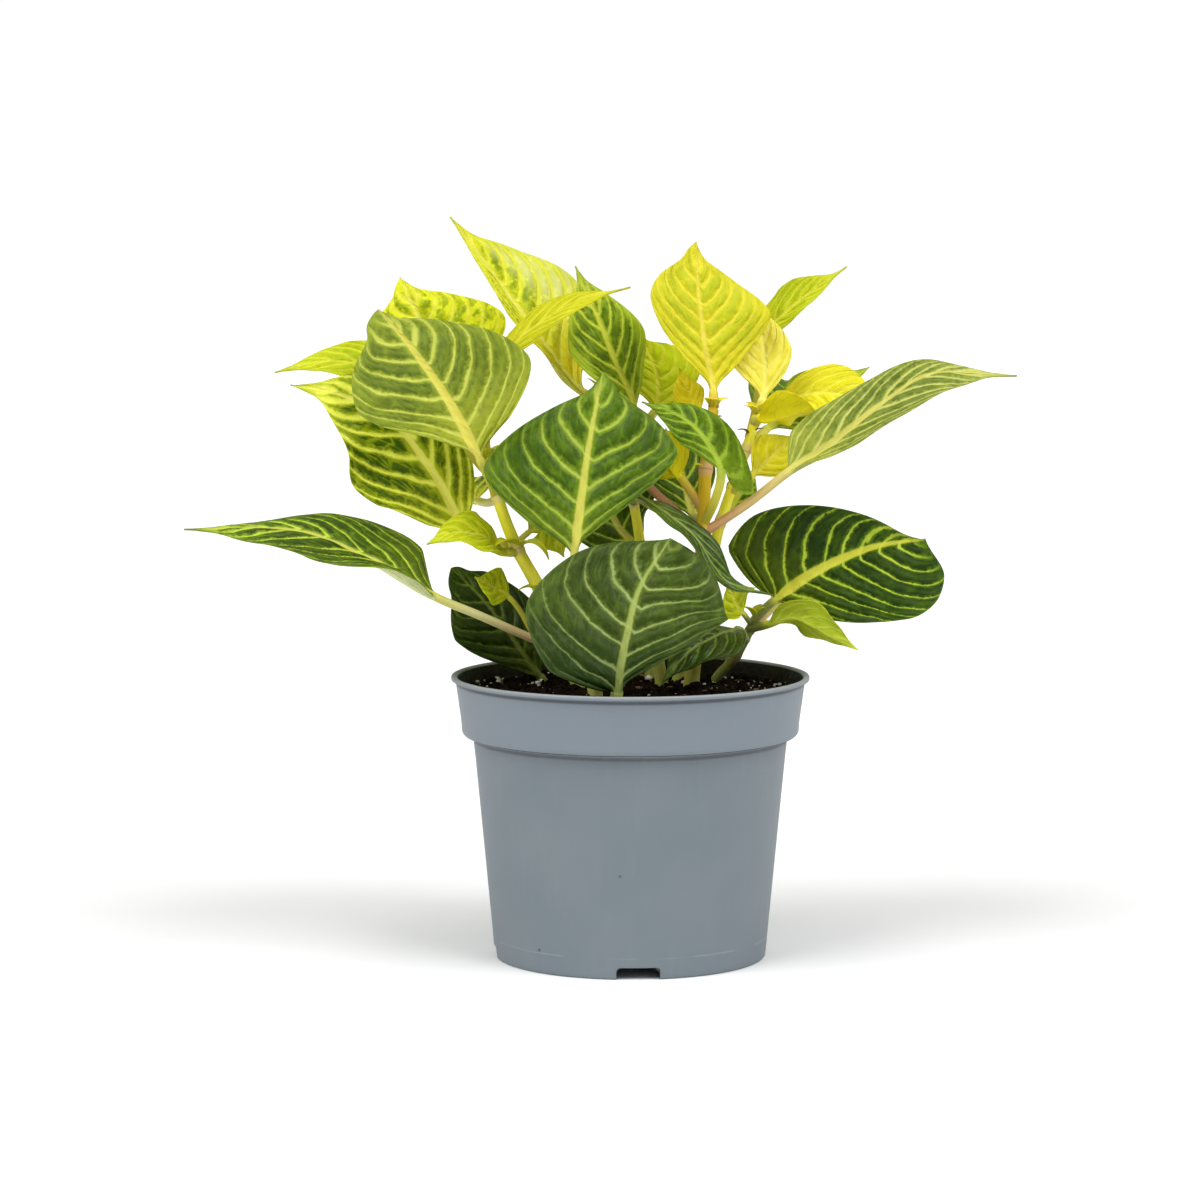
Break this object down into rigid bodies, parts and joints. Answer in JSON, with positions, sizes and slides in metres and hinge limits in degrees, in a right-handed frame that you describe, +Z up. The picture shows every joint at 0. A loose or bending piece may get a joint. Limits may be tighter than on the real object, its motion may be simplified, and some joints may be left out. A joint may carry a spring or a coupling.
{
  "type": "potted bloodleaf house plant",
  "caption": "Bushy house plant with large pointed leaves veined in yellow, on golden stems, in peat in a round plastic nursery pot.",
  "frame": {"origin": "centre of the pot's underside, on the surface that the pot stands on", "axes": "+Z up along the pot's axis, -Y towards the side that the picture shows, +X to the right in that view"},
  "size_m": [0.2971, 0.1771, 0.2682],
  "materials": {
    "grey_plastic": "moulded grey-blue plastic, satin, with a fine grain and rubbed edges",
    "leaf_dark": "dark green leaf, quilted between yellow veins, waxy satin",
    "leaf_green": "mid green leaf with yellow veins",
    "leaf_lime": "young lime leaf, blotched with green between wide yellow veins",
    "leaf_sheen": "grey-green leaf with a pale sheen and thin yellow veins",
    "leaf_yellow": "youngest leaf, clear yellow with a faint green mottle",
    "peat": "damp dark peat with bark crumbs and white perlite",
    "stem_gold": "fleshy golden stem, satin",
    "stem_olive": "fleshy olive stem, satin"
  },
  "bodies": {
    "root": {"leaf_back_centre": "leaf_dark", "leaf_back_high_right": "leaf_green", "leaf_back_left": "leaf_dark", "leaf_back_low": "leaf_dark", "leaf_back_low_left": "leaf_dark", "leaf_back_low_right": "leaf_dark", "leaf_back_mid_left": "leaf_green", "leaf_back_right": "leaf_dark", "leaf_back_top": "leaf_lime", "leaf_behind_centre": "leaf_dark", "leaf_centre": "leaf_dark", "leaf_dark_behind": "leaf_dark", "leaf_dark_hidden": "leaf_dark", "leaf_dark_inner": "leaf_dark", "leaf_dark_upright": "leaf_dark", "leaf_edge_long": "leaf_dark", "leaf_front_curved": "leaf_dark", "leaf_front_low": "leaf_sheen", "leaf_gold_behind": "leaf_yellow", "leaf_golden_fold": "leaf_yellow", "leaf_left_floor": "leaf_dark", "leaf_left_long": "leaf_dark", "leaf_left_lower": "leaf_dark", "leaf_left_small": "leaf_lime", "leaf_left_tiny": "leaf_lime", "leaf_left_top": "leaf_lime", "leaf_left_upper": "leaf_sheen", "leaf_left_yellow": "leaf_lime", "leaf_light_behind": "leaf_lime", "leaf_mid_right": "leaf_dark", "leaf_pale_edge": "leaf_dark", "leaf_pale_yellow": "leaf_yellow", "leaf_right_big": "leaf_dark", "leaf_right_long": "leaf_sheen", "leaf_right_point": "leaf_lime", "leaf_right_under": "leaf_lime", "leaf_small_golden": "leaf_yellow", "leaf_tiny_right": "leaf_lime", "leaf_top": "leaf_lime", "leaf_yellow_cross": "leaf_yellow", "leaf_yellow_low": "leaf_yellow", "leaf_yellow_right": "leaf_yellow", "leaf_yellow_top": "leaf_yellow", "leaf_yellow_under": "leaf_yellow", "pot": "grey_plastic", "soil": "peat", "stem_back": "stem_olive", "stem_centre": "stem_gold", "stem_front": "stem_gold", "stem_golden": "stem_gold", "stem_left": "stem_gold", "stem_right": "stem_olive", "stem_side": "stem_gold"}
  },
  "joints": []
}
